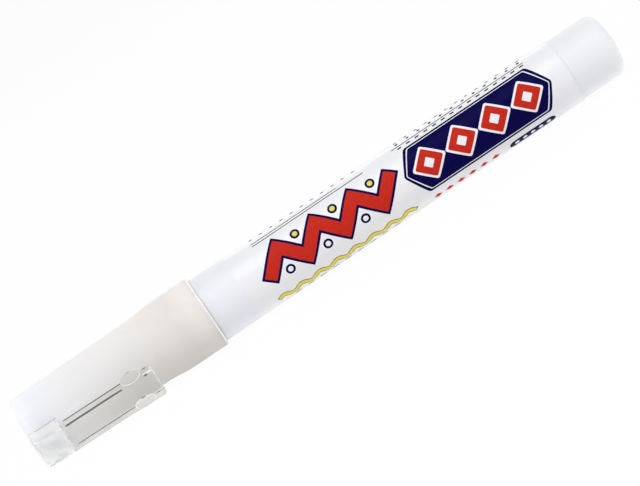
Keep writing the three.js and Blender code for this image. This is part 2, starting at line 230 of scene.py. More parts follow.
def add_node(tree, kind, inputs, output=0, operation=None):
    """A node with inputs by name or place: a socket is linked, a value is put in."""
    made = tree.nodes.new(kind)
    if operation:
        made.operation = operation
    for key, given in inputs.items():
        if isinstance(given, bpy.types.NodeSocket):
            tree.links.new(given, made.inputs[key])
        else:
            made.inputs[key].default_value = given
    return made.outputs[output]


class Shader:
    """A Principled material, with helpers for fine detail in object space."""

    def __init__(self, name, roughness, **sockets):
        self.material = bpy.data.materials.new(name)
        self.material.use_nodes = True
        self.tree = self.material.node_tree
        self.bsdf = self.tree.nodes["Principled BSDF"]
        self.bsdf.inputs["Roughness"].default_value = roughness
        for key, value in sockets.items():
            self.bsdf.inputs[key.replace("_", " ")].default_value = value
        self.place = add_node(self.tree, "ShaderNodeTexCoord", {}, "Object")

    def feed(self, output, name):
        self.tree.links.new(output, self.bsdf.inputs[name])

    def noise(self, per_mm, stretch=(1, 1, 1), detail=3.0):
        """Noise in object space; per_mm is how many cells there are to a millimetre."""
        scale = [per_mm / MM * s for s in stretch]
        place = add_node(self.tree, "ShaderNodeMapping", {"Vector": self.place, "Scale": scale})
        inputs = {"Vector": place, "Scale": 1.0, "Detail": detail}
        return add_node(self.tree, "ShaderNodeTexNoise", inputs, "Fac")

    def ramp(self, fac, stops):
        """The base colour runs over stops of (place, colour). It is handed back as well."""
        colour = add_node(self.tree, "ShaderNodeValToRGB", {"Fac": fac})
        elements = colour.node.color_ramp.elements
        elements.remove(elements[1])
        for i, (place, tone) in enumerate(stops):
            stop = elements.new(place) if i else elements[0]
            stop.position = place
            stop.color = (*tone, 1)
        self.feed(colour, "Base Color")
        return colour

    def colour(self, fac, low, high):
        """The base colour runs between two colours over the noise."""
        return self.ramp(fac, zip(NOISE_SPAN, (low, high)))

    def roughness(self, fac, low, high):
        start, end = NOISE_SPAN
        self.feed(add_node(self.tree, "ShaderNodeMapRange", {
            "Value": fac, "From Min": start, "From Max": end, "To Min": low, "To Max": high,
        }), "Roughness")

    def bump(self, fac, height_mm, strength=1.0):
        self.feed(add_node(self.tree, "ShaderNodeBump", {
            "Height": fac, "Strength": strength, "Distance": height_mm * MM,
        }), "Normal")


def moulded_plastic(name, low, high, roughness, grain, height, **sockets):
    """Moulded plastic: slow drift in the colour, finer drift in the gloss, and a faint grain."""
    shader = Shader(name, roughness, **sockets)
    shader.colour(shader.noise(COLOUR_DRIFT), low, high)
    shader.roughness(shader.noise(GLOSS_DRIFT), *(roughness * share for share in GLOSS_SPREAD))
    shader.bump(shader.noise(grain), height)
    return shader.material


def clear(name, low, high, roughness, share, ior=1.2):
    """Clear plastic that lets a share of the light through. A low index hides its faces."""
    return moulded_plastic(
        name, low, high, roughness, grain=0.8, height=0.0006, IOR=ior, Transmission_Weight=share)


def let_light_through(material, share, colour=WHITE, tone=None):
    """Part of the light that falls on the wall goes on through it, scattered."""
    tree = material.node_tree
    through = add_node(tree, "ShaderNodeBsdfTranslucent", {"Color": colour})
    if tone:
        tree.links.new(tone, through.node.inputs["Color"])
    surface = tree.nodes["Principled BSDF"].outputs[0]
    mix = add_node(tree, "ShaderNodeMixShader", {0: share, 1: surface, 2: through})
    tree.links.new(mix, tree.nodes["Material Output"].inputs["Surface"])
    return material


# The milky wall's tone is painted light and shade along the cap, warm at the lip and cool at the
# closed end, slightly mottled: painted light just at the lip, painted shade a few millimetres in,
# lighter again towards the closed end.
# Its ends are places along the row frame's X in metres.
MILKY_LIP = -0.0263
MILKY_END = -0.069
MILKY_PAINTED_TONES = (
    (0.0, (0.99, 0.98, 0.975)),
    (0.07, (0.945, 0.938, 0.932)),
    (0.14, (0.9, 0.894, 0.888)),
    (0.35, (0.925, 0.92, 0.915)),
    (0.6, (0.933, 0.928, 0.923)),
    (0.8, (0.942, 0.94, 0.941)),
    (1.0, (0.93, 0.936, 0.952)),
)
MILKY_MOTTLE = 0.16
MILKY_MOTTLE_CELLS = 0.2
MILKY_ROUGHNESS = (0.55, 0.68)
MILKY_SHARE = 0.87
MILKY_THROUGH = (1.0, 0.985, 0.975, 1)


def milky(name):
    shader = Shader(
        name, roughness=0.6, IOR=1.55, Specular_IOR_Level=0.8, Coat_Weight=1.0, Coat_Roughness=0.6)
    tree = shader.tree
    x = add_node(tree, "ShaderNodeSeparateXYZ", {"Vector": shader.place}, "X")
    along = add_node(tree, "ShaderNodeMapRange", {
        "Value": x, "From Min": MILKY_LIP, "From Max": MILKY_END})
    mottle = shader.noise(MILKY_MOTTLE_CELLS)
    mottled = add_node(
        tree, "ShaderNodeMath", {0: mottle, 1: MILKY_MOTTLE, 2: along}, operation="MULTIPLY_ADD")
    level = add_node(
        tree, "ShaderNodeMath", {0: mottled, 1: MILKY_MOTTLE / 2}, operation="SUBTRACT")
    # The painted light and shade along the cap colours the wall and the light that goes through it.
    tone = shader.ramp(level, MILKY_PAINTED_TONES)
    shader.roughness(shader.noise(GLOSS_DRIFT), *MILKY_ROUGHNESS)
    shader.bump(shader.noise(per_mm=5.0), height_mm=0.003)
    return let_light_through(shader.material, MILKY_SHARE, MILKY_THROUGH, tone)


white_plastic = moulded_plastic(
    "white_plastic", (0.82, 0.825, 0.87), (0.845, 0.85, 0.895),
    roughness=0.5, grain=3.0, height=0.002, IOR=1.58)
tail_plastic = moulded_plastic(
    "tail_plastic", (0.83, 0.835, 0.855), (0.86, 0.865, 0.885),
    roughness=0.52, grain=6.0, height=0.004, IOR=1.58)
label_white = moulded_plastic(
    "label_white", (0.85, 0.85, 0.87), (0.87, 0.87, 0.89),
    roughness=0.35, grain=0.5, height=0.006, IOR=1.5, Coat_Weight=0.15, Coat_Roughness=0.2)
milky_plastic = milky("milky_plastic")
# Painted highlight: the lip's rounded outer rim is a whiter milky plastic that lets little light
# through, so that it shows as a bright line.
lip_painted_highlight = let_light_through(moulded_plastic(
    "lip_painted_highlight", (0.985, 0.98, 0.98), (1.0, 0.995, 0.995),
    roughness=0.4, grain=5.0, height=0.002, IOR=1.5), share=0.1)
# Painted shade: the lip's end face is an opaque grey, so that it and the barrel just behind the lip
# look shaded.
lip_shade = moulded_plastic(
    "lip_shade", (0.48, 0.47, 0.465), (0.51, 0.5, 0.495),
    roughness=0.6, grain=5.0, height=0.002, IOR=1.5)
waxy_plastic = let_light_through(moulded_plastic(
    "waxy_plastic", (0.97, 0.975, 0.985), (0.98, 0.985, 0.995),
    roughness=0.45, grain=2.5, height=0.004, IOR=1.5), share=0.85, colour=(0.99, 0.99, 1.0, 1))
# Painted shade: the neck is the barrel's white plastic, coloured darker and warmer to stand in for
# how it looks inside the cap.
neck_painted_shade = moulded_plastic(
    "neck_painted_shade", (0.81, 0.775, 0.75), (0.83, 0.795, 0.77),
    roughness=0.4, grain=3.0, height=0.0015, IOR=1.49)
holder_plastic = moulded_plastic(
    "holder_plastic", (0.85, 0.84, 0.82), (0.88, 0.87, 0.85),
    roughness=0.4, grain=2.5, height=0.004, IOR=1.5)
clear_plastic = clear(
    "clear_plastic", (0.955, 0.95, 0.925), (0.97, 0.965, 0.94), roughness=0.02, share=1.0)
# Painted dark lines: a nearly black, mostly opaque plastic along the clip's edges stands in for the
# dark refraction and reflection seen there.
clear_painted_dark_line = clear(
    "clear_painted_dark_line", (0.1, 0.1, 0.095), (0.14, 0.14, 0.135), roughness=0.4, share=0.3)
# Painted light: the foot and the tip face get a hazy, whiter clear plastic, which lightens them.
clear_foot_painted_light = clear(
    "clear_foot_painted_light", (0.98, 0.98, 0.975), (0.995, 0.995, 0.99), roughness=0.05, share=0.62)
# Painted highlight: the bump's rims get a whiter, mostly opaque plastic, so that they show as
# bright rings.
clear_rim_painted_highlight = let_light_through(clear(
    "clear_rim_painted_highlight", (0.985, 0.985, 0.98), (1.0, 1.0, 0.995),
    roughness=0.15, share=0.1, ior=1.45), share=0.25)
clear_bump = clear(
    "clear_bump", (0.955, 0.95, 0.925), (0.97, 0.965, 0.94), roughness=0.02, share=1.0, ior=1.003)
# Painted light: the clip's lower side, towards +B, gets a hazy, lighter clear plastic; the other
# side stays clear.
clear_side_painted_light = clear(
    "clear_side_painted_light", (0.95, 0.925, 0.915), (0.98, 0.955, 0.945), roughness=0.1, share=0.45)
CLIP_MATERIALS = [clear_plastic, clear_painted_dark_line, clear_foot_painted_light, clear_rim_painted_highlight, clear_bump, clear_side_painted_light]
CLEAR, PAINTED_LINE, FOOT, PAINTED_RIM_HIGHLIGHT, QUIET, SIDE = range(len(CLIP_MATERIALS))
sleeve_film = moulded_plastic(
    "sleeve_film", (0.86, 0.87, 0.88), (0.9, 0.91, 0.92),
    roughness=0.15, grain=0.6, height=0.003, IOR=1.5, Transmission_Weight=0.6)


def fibre(name, low, high):
    """Felt: fibres that run along the axis, fuzzy and matt."""
    shader = Shader(name, roughness=0.95, Sheen_Weight=0.3, Sheen_Roughness=0.6)
    strands = shader.noise(per_mm=9.0, stretch=(0.08, 1, 1), detail=4.0)
    shader.colour(strands, low, high)
    shader.bump(strands, height_mm=0.05, strength=0.8)
    return shader.material


felt = fibre("felt", (0.74, 0.73, 0.69), (0.9, 0.89, 0.85))


def ink(name, low, high):
    """Printing ink: even, glossy, with the film's slight drift in depth of colour."""
    shader = Shader(name, roughness=0.35, Specular_IOR_Level=0.03)
    shader.colour(shader.noise(per_mm=1.6), low, high)
    shader.roughness(shader.noise(per_mm=2.5), low=0.3, high=0.4)
    return shader.material


INKS = {
    "navy": ink("ink_navy", (0.002, 0.001, 0.052), (0.003, 0.002, 0.068)),
    "red": ink("ink_red", (0.53, 0.024, 0.012), (0.58, 0.03, 0.017)),
    "white": ink("ink_white", (0.85, 0.85, 0.87), (0.88, 0.88, 0.9)),
    "yellow": ink("ink_yellow", (0.76, 0.66, 0.1), (0.82, 0.72, 0.13)),
    "black": ink("ink_black", (0.012, 0.012, 0.016), (0.02, 0.02, 0.024)),
}


# Barrel; the profiles of the turned pieces are rows of (x, radius, fillet)
BARREL_RADIUS = 6.925
BARREL_LENGTH = 84.5
NECK_RADIUS = 6.25
NECK_FRONT = -12.9
NECK_BORE = 5.25
NECK_BORE_REAR = 2.0
BORE = 5.575
BORE_FRONT = 3.0
LABEL_SEAT = 6.775
LABEL_FRONT = 8.0
LABEL_REAR = 84.0
BEAD_X = -4.0
BEAD_HALF = 0.6
BEAD_HEIGHT = 0.12
SEAM_ROUND = 0.005

barrel = lathe("barrel_tube", filleted([
    (NECK_FRONT, NECK_BORE, 0.12),
    (NECK_FRONT, NECK_RADIUS, 0.4),
    (BEAD_X - BEAD_HALF, NECK_RADIUS, 0.4),
    (BEAD_X, NECK_RADIUS + BEAD_HEIGHT, 0.3),
    (BEAD_X + BEAD_HALF, NECK_RADIUS, 0.4),
    (0, NECK_RADIUS, 0.15),
    (0, BARREL_RADIUS, 0.12),
    (LABEL_FRONT, BARREL_RADIUS, SEAM_ROUND),
    (LABEL_FRONT, LABEL_SEAT, 0),
    (LABEL_REAR, LABEL_SEAT, 0),
    (LABEL_REAR, BARREL_RADIUS, SEAM_ROUND),
    (BARREL_LENGTH, BARREL_RADIUS, 0.08),
    (BARREL_LENGTH, BORE, 0.1),
    (BORE_FRONT, BORE, 0.2),
    (NECK_BORE_REAR, NECK_BORE, 0.2),
], closed=True), [white_plastic, neck_painted_shade], closed=True,
    # The neck, in front of the shoulder, gets the painted shade.
    slot_of=lambda p, q: 1 if max(p[0], q[0]) < TINY else 0)
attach(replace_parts(barrel, "barrel"), "barrel")

# Label film with its butt seam on the side away from the clip
FILM_INNER = 6.825
FILM_FRONT = 8.003
FILM_REAR = 83.997
SEAM_HALF = 0.2 / FILM_INNER

film = lathe("label_wrap", filleted([
    (FILM_FRONT, FILM_INNER, 0),
    (FILM_FRONT, BARREL_RADIUS, SEAM_ROUND),
    (FILM_REAR, BARREL_RADIUS, SEAM_ROUND),
    (FILM_REAR, FILM_INNER, 0),
], closed=True), [label_white], closed=True,
    start=math.pi + SEAM_HALF, sweep=FULL_TURN - 2 * SEAM_HALF)
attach(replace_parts(film, "label_film"), "barrel")

# Tail plug
TAIL_FLANGE = 84.52
TAIL_RADIUS = 6.685
TAIL_ROUND = 2.4
TAIL_CROWN = 0.73
TAIL_CROWN_ROUND = 8.0
TAIL_INSIDE = TAIL_END - 2.2
TAIL_FLAT_RADIUS = 2.6
SPIGOT_FRONT = 76.5
SPIGOT_RADIUS = BORE - 0.1
TAIL_CAVITY = SPIGOT_RADIUS - 1.2

tail = lathe("tail_end", filleted([
    (TAIL_INSIDE, 0, 0),
    (TAIL_INSIDE, TAIL_CAVITY, 0.6),
    (SPIGOT_FRONT, TAIL_CAVITY, 0.2),
    (SPIGOT_FRONT, SPIGOT_RADIUS, 0.5),
    (TAIL_FLANGE, SPIGOT_RADIUS, 0.02),
    (TAIL_FLANGE, TAIL_RADIUS, 0.06),
    (TAIL_END - TAIL_CROWN, TAIL_RADIUS, TAIL_ROUND),
    (TAIL_END, TAIL_FLAT_RADIUS, TAIL_CROWN_ROUND),
    (TAIL_END, 0, 0),
]), [tail_plastic])
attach(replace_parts(tail, "tail_plug"), "barrel")

# Cap shell
CAP_END = -42.7
CAP_END_ROUND = 1.6
CAP_FLOOR = -41.5
CAP_WALL = 1.2
CAP_LIP = -0.06
CAP_LIP_TOP = -8.2
CAP_WAIST = -14.2
CAP_WAIST_RADIUS = 7.2
CAP_FLARE = 0.436
CAP_BORE = 6.45
CAP_BORE_TOP = -14.8
CAP_BORE_FADE = -20.8
CAP_BORE_ROUND = 2.0
CAP_DRAFT = math.tan(math.radians(0.45))
FLARE_STEPS = 24
GROOVE_DEPTH = 0.12
LIP_ROUND = 0.38
LIP_LEAD = 0.3
# The outer share of the lip's rounding that carries the painted highlight.
LIP_PAINTED_HIGHLIGHT_SHARE = 0.55
LIP_MARGIN = 0.01


def cap_radius(x):
    """The cap's outer radius: a slight draft, and a flare towards the lip."""
    share = min(max((x - CAP_WAIST) / (CAP_LIP_TOP - CAP_WAIST), 0), 1)
    flare = CAP_FLARE * share * share * (3 - 2 * share)
    return CAP_WAIST_RADIUS - max(CAP_WAIST - x, 0) * CAP_DRAFT + flare


flare_points = []
for step in range(FLARE_STEPS + 1):
    x = CAP_WAIST + (CAP_LIP_TOP - CAP_WAIST) * step / FLARE_STEPS
    flare_points.append((x, cap_radius(x), 0))


def lip_slot(start, end):
    """1 on the rounded outer rim of the lip, painted white as a highlight; 2 on its end face,
    painted grey as shade; 0 elsewhere.
    """
    if min(start[0], end[0]) < CAP_LIP - LIP_ROUND - LIP_MARGIN:
        return 0
    height = (start[1] + end[1]) / 2
    if height > cap_radius(CAP_LIP) - LIP_ROUND * LIP_PAINTED_HIGHLIGHT_SHARE:
        return 1
    return 2 if height > CAP_BORE + LIP_LEAD - LIP_MARGIN else 0


cap = lathe("cap_body", filleted([
    (CAP_END, 0, 0),
    (CAP_END, cap_radius(CAP_END), CAP_END_ROUND),
    *flare_points,
    (CAP_LIP, cap_radius(CAP_LIP), LIP_ROUND),
    (CAP_LIP, CAP_BORE + LIP_LEAD, 0.1),
    (CAP_LIP - LIP_LEAD, CAP_BORE, 0.1),
    (BEAD_X + BEAD_HALF, CAP_BORE, 0.3),
    (BEAD_X, CAP_BORE + GROOVE_DEPTH, 0.3),
    (BEAD_X - BEAD_HALF, CAP_BORE, 0.3),
    (CAP_BORE_TOP, CAP_BORE, CAP_BORE_ROUND),
    (CAP_BORE_FADE, cap_radius(CAP_BORE_FADE) - CAP_WALL, CAP_BORE_ROUND),
    (CAP_FLOOR, cap_radius(CAP_FLOOR) - CAP_WALL, 0.5),
    (CAP_FLOOR, 0, 0),
]), [milky_plastic, lip_painted_highlight, lip_shade], slot_of=lip_slot)

# The clip's tenon and the slot that it sits in
CLIP_WIDTH = 6.2
CLIP_HALF = CLIP_WIDTH / 2
FOOT_LENGTH = 6.5
FOOT_FRONT = CAP_END + FOOT_LENGTH
TENON_X = (CAP_END + 1.2, FOOT_FRONT - 1.7)
TENON_HALF = CLIP_HALF - 0.875
TENON_MIDDLE = (TENON_X[0] + TENON_X[1]) / 2
TENON_BOTTOM = cap_radius(TENON_MIDDLE) - CAP_WALL + 0.2
TENON_TOP = cap_radius(TENON_MIDDLE) + 0.75
SLOT_ROOM = 0.25

slot_cutter = pen_box(
    "slot_cutter",
    (TENON_X[0] - SLOT_ROOM, TENON_X[1] + SLOT_ROOM),
    (TENON_BOTTOM - SLOT_ROOM, TENON_TOP + SLOT_ROOM),
    (-TENON_HALF - SLOT_ROOM, TENON_HALF + SLOT_ROOM),
)
boolean(cap, "DIFFERENCE", slot_cutter)
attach(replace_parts(cap, "cap_shell"), "cap")

# Inner cap
SEPTUM_FRONT = -35.9
SEPTUM_REAR = -36.8
INNER_REAR = -41.2
INNER_MOUTH = -15.2
INNER_RADIUS = cap_radius(CAP_FLOOR) - CAP_WALL - 0.25
INNER_BORE = INNER_RADIUS - 0.9
INNER_LEAD = 0.4

inner_cap = lathe("inner_cup", filleted([
    (SEPTUM_REAR, 0, 0),
    (SEPTUM_REAR, INNER_BORE, 0.4),
    (INNER_REAR, INNER_BORE, 0.15),
    (INNER_REAR, INNER_RADIUS, 0.2),
    (INNER_MOUTH, INNER_RADIUS, 0.2),
    (INNER_MOUTH, INNER_BORE + INNER_LEAD, 0.05),
    (INNER_MOUTH - INNER_LEAD, INNER_BORE, 0.1),
    (SEPTUM_FRONT, INNER_BORE, 0.6),
    (SEPTUM_FRONT, 0, 0),
]), [waxy_plastic])
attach(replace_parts(inner_cap, "inner_cap"), "cap")

# Nib holder with its three vents
NOSE_TIP = -24.5
NOSE_LAND_FRONT = -18.5
FLANGE_FRONT = -14.3
FLANGE_REAR = -13.1
HOLDER_REAR = -3.9
HOLDER_SOCKET = -8.9
NIB_RADIUS = 1.7
NIB_BORE = NIB_RADIUS + 0.15
NOSE_TIP_RADIUS = NIB_BORE + 1.0
NOSE_LAND_RADIUS = INNER_BORE - 0.2
HOLDER_SPIGOT = NECK_BORE - 0.1
HOLDER_BORE = HOLDER_SPIGOT - 1.4
FLANGE_RADIUS = NECK_RADIUS - 0.25
VENT_COUNT = 3
VENT_HALF = 0.3
VENT_BOTTOM = 0.5
VENT_TOP = NIB_BORE + 0.45
VENT_PAST = 0.3

holder = lathe("nose_holder", filleted([
    (NOSE_TIP, NIB_BORE, 0.05),
    (NOSE_TIP, NOSE_TIP_RADIUS, 0.4),
    (NOSE_LAND_FRONT, NOSE_LAND_RADIUS, 0.5),
    (FLANGE_FRONT, NOSE_LAND_RADIUS, 0.2),
    (FLANGE_FRONT, FLANGE_RADIUS, 0.15),
    (FLANGE_REAR, FLANGE_RADIUS, 0.1),
    (FLANGE_REAR, HOLDER_SPIGOT, 0.1),
    (HOLDER_REAR, HOLDER_SPIGOT, 0.4),
    (HOLDER_REAR, HOLDER_BORE, 0.1),
    (HOLDER_SOCKET, HOLDER_BORE, 0.2),
    (HOLDER_SOCKET, NIB_BORE, 0.05),
], closed=True), [holder_plastic], closed=True)
for turn in range(VENT_COUNT):
    # The vents start on the side of the pen frame that lies across the clip.
    boolean(holder, "DIFFERENCE", pen_box(
        f"vent_cutter_{turn}",
        (NOSE_TIP - VENT_PAST, HOLDER_REAR + VENT_PAST),
        (VENT_BOTTOM, VENT_TOP),
        (-VENT_HALF, VENT_HALF),
        -QUARTER_TURN + FULL_TURN * turn / VENT_COUNT,
    ))
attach(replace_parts(holder, "nib_holder"), "barrel")

# Nib: a felt rod flattened to an edge and cut on a slant
NIB_TIP = -30.5
NIB_REAR = 2.4
NIB_TAPER = 5.0
NIB_EDGE_HALF = 0.45
NIB_SLANT = 1.4
NIB_CORNER = 0.35
NIB_CORNER_SHRINK = 0.08
NIB_REAR_TAPER = 1.0
NIB_REAR_SLOPE = 0.9
NIB_REAR_STEP = 0.1
NIB_REAR_RINGS = 11
NIB_TIP_STEPS = 40
NIB_TIP_LENGTH = NIB_TAPER + 1.0
NIB_COLUMNS = 72
NIB_SHARP_ANGLE = math.radians(40)


def nib_section(x):
    """Half height along A and half width along B of the nib's section at x."""
    share = min(max((x - NIB_TIP) / NIB_TAPER, 0), 1)
    height = NIB_EDGE_HALF + (NIB_RADIUS - NIB_EDGE_HALF) * share
    if x > NIB_REAR - NIB_REAR_TAPER:
        height = NIB_RADIUS - (x - NIB_REAR + NIB_REAR_TAPER) * NIB_REAR_SLOPE
        return height, height
    return height, NIB_RADIUS


def nib_ring(x, shrink):
    height, width = nib_section(x)
    ring = []
    for step in range(NIB_COLUMNS):
        angle = FULL_TURN * step / NIB_COLUMNS
        b = width * math.sin(angle)
        a = max(-height, min(height, width * math.cos(angle)))
        slant = NIB_SLANT * (b + NIB_RADIUS) / (2 * NIB_RADIUS)
        share = max(0, 1 - (x - NIB_TIP) / NIB_TAPER)
        ring.append(pen_point(x + slant * share, a * shrink, b * shrink))
    return ring


def make_nib():
    stations = [NIB_TIP + NIB_TIP_LENGTH * (i / NIB_TIP_STEPS) for i in range(NIB_TIP_STEPS + 1)]
    stations += [NIB_REAR - NIB_REAR_TAPER + NIB_REAR_STEP * i for i in range(NIB_REAR_RINGS)]
    vertices, faces = [], []
    for i, x in enumerate(stations):
        edge = min(1, (x - NIB_TIP) / NIB_CORNER)
        vertices += nib_ring(x, 1 - NIB_CORNER_SHRINK * (1 - edge) ** 2)
        if i:
            faces += ring_faces((i - 1) * NIB_COLUMNS, NIB_COLUMNS)
    faces.append(list(range(NIB_COLUMNS)))
    last = (len(stations) - 1) * NIB_COLUMNS
    faces.append(list(range(last, last + NIB_COLUMNS)))
    return smooth(new_object("felt_nib", vertices, faces, [felt]), NIB_SHARP_ANGLE)


nib = make_nib()
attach(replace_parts(nib, "nib"), "barrel")

# Reservoir and its sleeve
RESERVOIR_FRONT = -3.6
RESERVOIR_REAR = 76.2
FIBRE_RADIUS = 4.85
FIBRE_POCKET = NIB_REAR + 0.3
SLEEVE_RADIUS = 5.1
SLEEVE_INNER = SLEEVE_RADIUS - 0.15
SLEEVE_FRONT = RESERVOIR_FRONT + 0.4
SLEEVE_REAR = RESERVOIR_REAR - 0.4

reservoir = lathe("fibre_rod", filleted([
    (FIBRE_POCKET, 0, 0),
    (FIBRE_POCKET, NIB_BORE, 0.2),
    (RESERVOIR_FRONT, NIB_BORE, 0.1),
    (RESERVOIR_FRONT, FIBRE_RADIUS, 0.3),
    (RESERVOIR_REAR, FIBRE_RADIUS, 0.3),
    (RESERVOIR_REAR, 0, 0),
]), [felt])
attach(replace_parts(reservoir, "fibre_reservoir"), "barrel")

sleeve = lathe("fibre_sleeve", [
    (SLEEVE_FRONT, SLEEVE_INNER),
    (SLEEVE_FRONT, SLEEVE_RADIUS),
    (SLEEVE_REAR, SLEEVE_RADIUS),
    (SLEEVE_REAR, SLEEVE_INNER),
], [sleeve_film], closed=True)
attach(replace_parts(sleeve, "reservoir_sleeve"), "barrel")

# Pocket clip: its side outline is swept across its width, drawn in along the rounded edges
CLIP_LENGTH = 27.5
CLIP_THICKNESS = 2.35
CLIP_GAP = 1.72
CLIP_LEAN = math.radians(1.6)
CLIP_INNER = cap_radius(FOOT_FRONT) + CLIP_GAP
FOOT_ROUND = 1.0
WEB_ROUND = 1.2
TIP_CORNER = 0.8
TIP_ROUND = 0.7
TIP_INNER_ROUND = 0.4
BUMP_RADIUS = 2.25
BUMP_MIDDLE = CLIP_LENGTH - 4.6
BUMP_RISE = (BUMP_MIDDLE - FOOT_LENGTH) * math.sin(CLIP_LEAN)
BUMP_DEPTH = CLIP_INNER + BUMP_RISE - cap_radius(CAP_END + BUMP_MIDDLE) - 0.15
BUMP_HEIGHT = BUMP_RADIUS - BUMP_DEPTH
BUMP_HALF = CLIP_HALF + 0.06
BUMP_EDGE = 0.16
BUMP_STEPS = 96
CROWN_HEIGHT = CLIP_THICKNESS + 0.3
CROWN_RUN_OUT = 4.0
SADDLE_GAP = 0.15
EDGE_ROUND = 0.15
EDGE_STEPS = 4
CLIP_COLUMNS = 14
CLIP_RUN_STEPS = (1, 1, 28, 2, 6, 36, 2)
WEB_STEPS = 8
TIP_INNER_STEPS = 6
TIP_STEPS = 8
FALL_STEPS = 12
FOOT_STEPS = 10
SADDLE_STEPS = 9
SIDE_STRIPS = (0.35, 0.1)
UPPER_STRIP = 0.12
FILL_STEP = (0.7, 0.6)
FILL_ROWS = range(-3, 5)
FILL_INSIDE = 1

# Where the clip's faces change their material, as lengths from its rear end or bands across it
# The dark lines along the clip's edges, at the foot, the arm and the tip, are painted shade and
# reflection.
LINE_SPAN = (FOOT_LENGTH + 0.75, 20.4)
OUTER_LINE_SPAN = (FOOT_LENGTH + 1.2, 20.4)
TIP_PAINTED_LINE_SPAN = (25.6, 26.3)
FOOT_LINE_SPAN = (1.0, FOOT_LENGTH - 0.1)
LOWER_LINE_BANDS = (3, 4, 5)
REAR_SPAN = 0.5
FOOT_SPAN = FOOT_LENGTH + 0.01
FILLET_START = FOOT_LENGTH - 0.2
FILLET_TOP = -0.001
TIP_FACE_START = CLIP_LENGTH - 0.35
TIP_FACE_BANDS = 5
# Painted shadow: a dark patch on each bump rim where it comes closest to the cap.
RIM_PAINTED_SHADOW_AT = 270
RIM_PAINTED_SHADOW_DEGREES = 11


def arc(centre, radii, start, end, steps):
    points = []
    for step in range(steps + 1):
        angle = start + (end - start) * step / steps
        points.append((
            centre[0] + radii[0] * math.cos(angle),
            centre[1] + radii[1] * math.sin(angle),
        ))
    return points


def straight(start, end, steps):
    """The points between two ends, without the ends."""
    return [
        tuple(p + (q - p) * step / steps for p, q in zip(start, end))
        for step in range(1, steps)
    ]


def clip_fall(crown, top):
    """The crown's run-out towards the foot: a smooth step down, as a cubic curve."""
    middle = BUMP_MIDDLE - CROWN_RUN_OUT / 2
    corners = [Vector((BUMP_MIDDLE, crown)), Vector((middle, crown))]
    corners += [Vector((middle, top)), Vector((BUMP_MIDDLE - CROWN_RUN_OUT, top))]
    fall = [tuple(corners[0])]
    for step in range(1, FALL_STEPS + 1):
        t = step / FALL_STEPS
        weights = ((1 - t) ** 3, 3 * t * (1 - t) ** 2, 3 * t * t * (1 - t), t ** 3)
        fall.append(tuple(sum((c * w for c, w in zip(corners, weights)), Vector((0, 0)))))
    return fall


def clip_outline(depth):
    """Once round the side view, drawn in by a depth: (length, height, in the saddle or not)."""
    up = QUARTER_TURN
    inner, outer = max(TIP_INNER_ROUND, depth), max(TIP_ROUND, depth)
    tip_inner = (CLIP_LENGTH - inner, inner)
    tip_outer = (CLIP_LENGTH - outer, CROWN_HEIGHT - outer)
    front, rear = (FOOT_LENGTH - depth, -CLIP_GAP), (depth, -CLIP_GAP)
    web, foot = WEB_ROUND + depth, FOOT_ROUND - depth
    runs = [
        [front],
        arc((FOOT_LENGTH + WEB_ROUND, -WEB_ROUND), (web, web), math.pi, up, WEB_STEPS),
        arc(tip_inner, (inner - depth,) * 2, -up, 0, TIP_INNER_STEPS),
        arc(tip_outer, (outer - depth,) * 2, 0, up, TIP_STEPS),
        clip_fall(CROWN_HEIGHT - depth, CLIP_THICKNESS - depth),
        arc((FOOT_ROUND, CLIP_THICKNESS - FOOT_ROUND), (foot, foot), up, math.pi, FOOT_STEPS),
        [rear],
    ]
    points = []
    for run, steps in zip(runs, CLIP_RUN_STEPS):
        points += straight(points[-1], run[0], steps) if points else []
        points += run
    outline = [(length, height, False) for length, height in points]
    outline[0] = (*front, True)
    outline[-1] = (*rear, True)
    saddle = straight(rear, front, SADDLE_STEPS)
    return outline + [(length, height, True) for length, height in saddle]


def clip_point(length, height, saddle, depth, b):
    """A point of the clip: its arm leans, its tip narrows and its saddle follows the cap."""
    x = FOOT_FRONT + (length - FOOT_LENGTH) * math.cos(CLIP_LEAN) - height * math.sin(CLIP_LEAN)
    a = CLIP_INNER + (length - FOOT_LENGTH) * math.sin(CLIP_LEAN) + height * math.cos(CLIP_LEAN)
    x = max(x, CAP_END + depth)
    into = min(max((length - CLIP_LENGTH + TIP_CORNER) / TIP_CORNER, 0), 1)
    b *= 1 - TIP_CORNER / CLIP_HALF * (1 - math.sqrt(1 - into * into))
    if saddle:
        a = math.sqrt((cap_radius(x) + SADDLE_GAP) ** 2 - b * b) + depth
    return pen_point(x, a, b)


def clip_columns():
    """Places across the width: (b, how far the outline is drawn in there)."""
    flat = CLIP_HALF - EDGE_ROUND
    side = [(CLIP_HALF, EDGE_ROUND + strip) for strip in SIDE_STRIPS]
    for step in range(EDGE_STEPS):
        angle = QUARTER_TURN * step / EDGE_STEPS
        side.append((flat + EDGE_ROUND * math.cos(angle), EDGE_ROUND * (1 - math.sin(angle))))
    side.append((flat, 0.0))
    low, high = -flat + UPPER_STRIP, flat - UPPER_STRIP
    middle = [(low + (high - low) * i / CLIP_COLUMNS, 0.0) for i in range(CLIP_COLUMNS + 1)]
    return [(-b, depth) for b, depth in side] + middle + side[::-1]


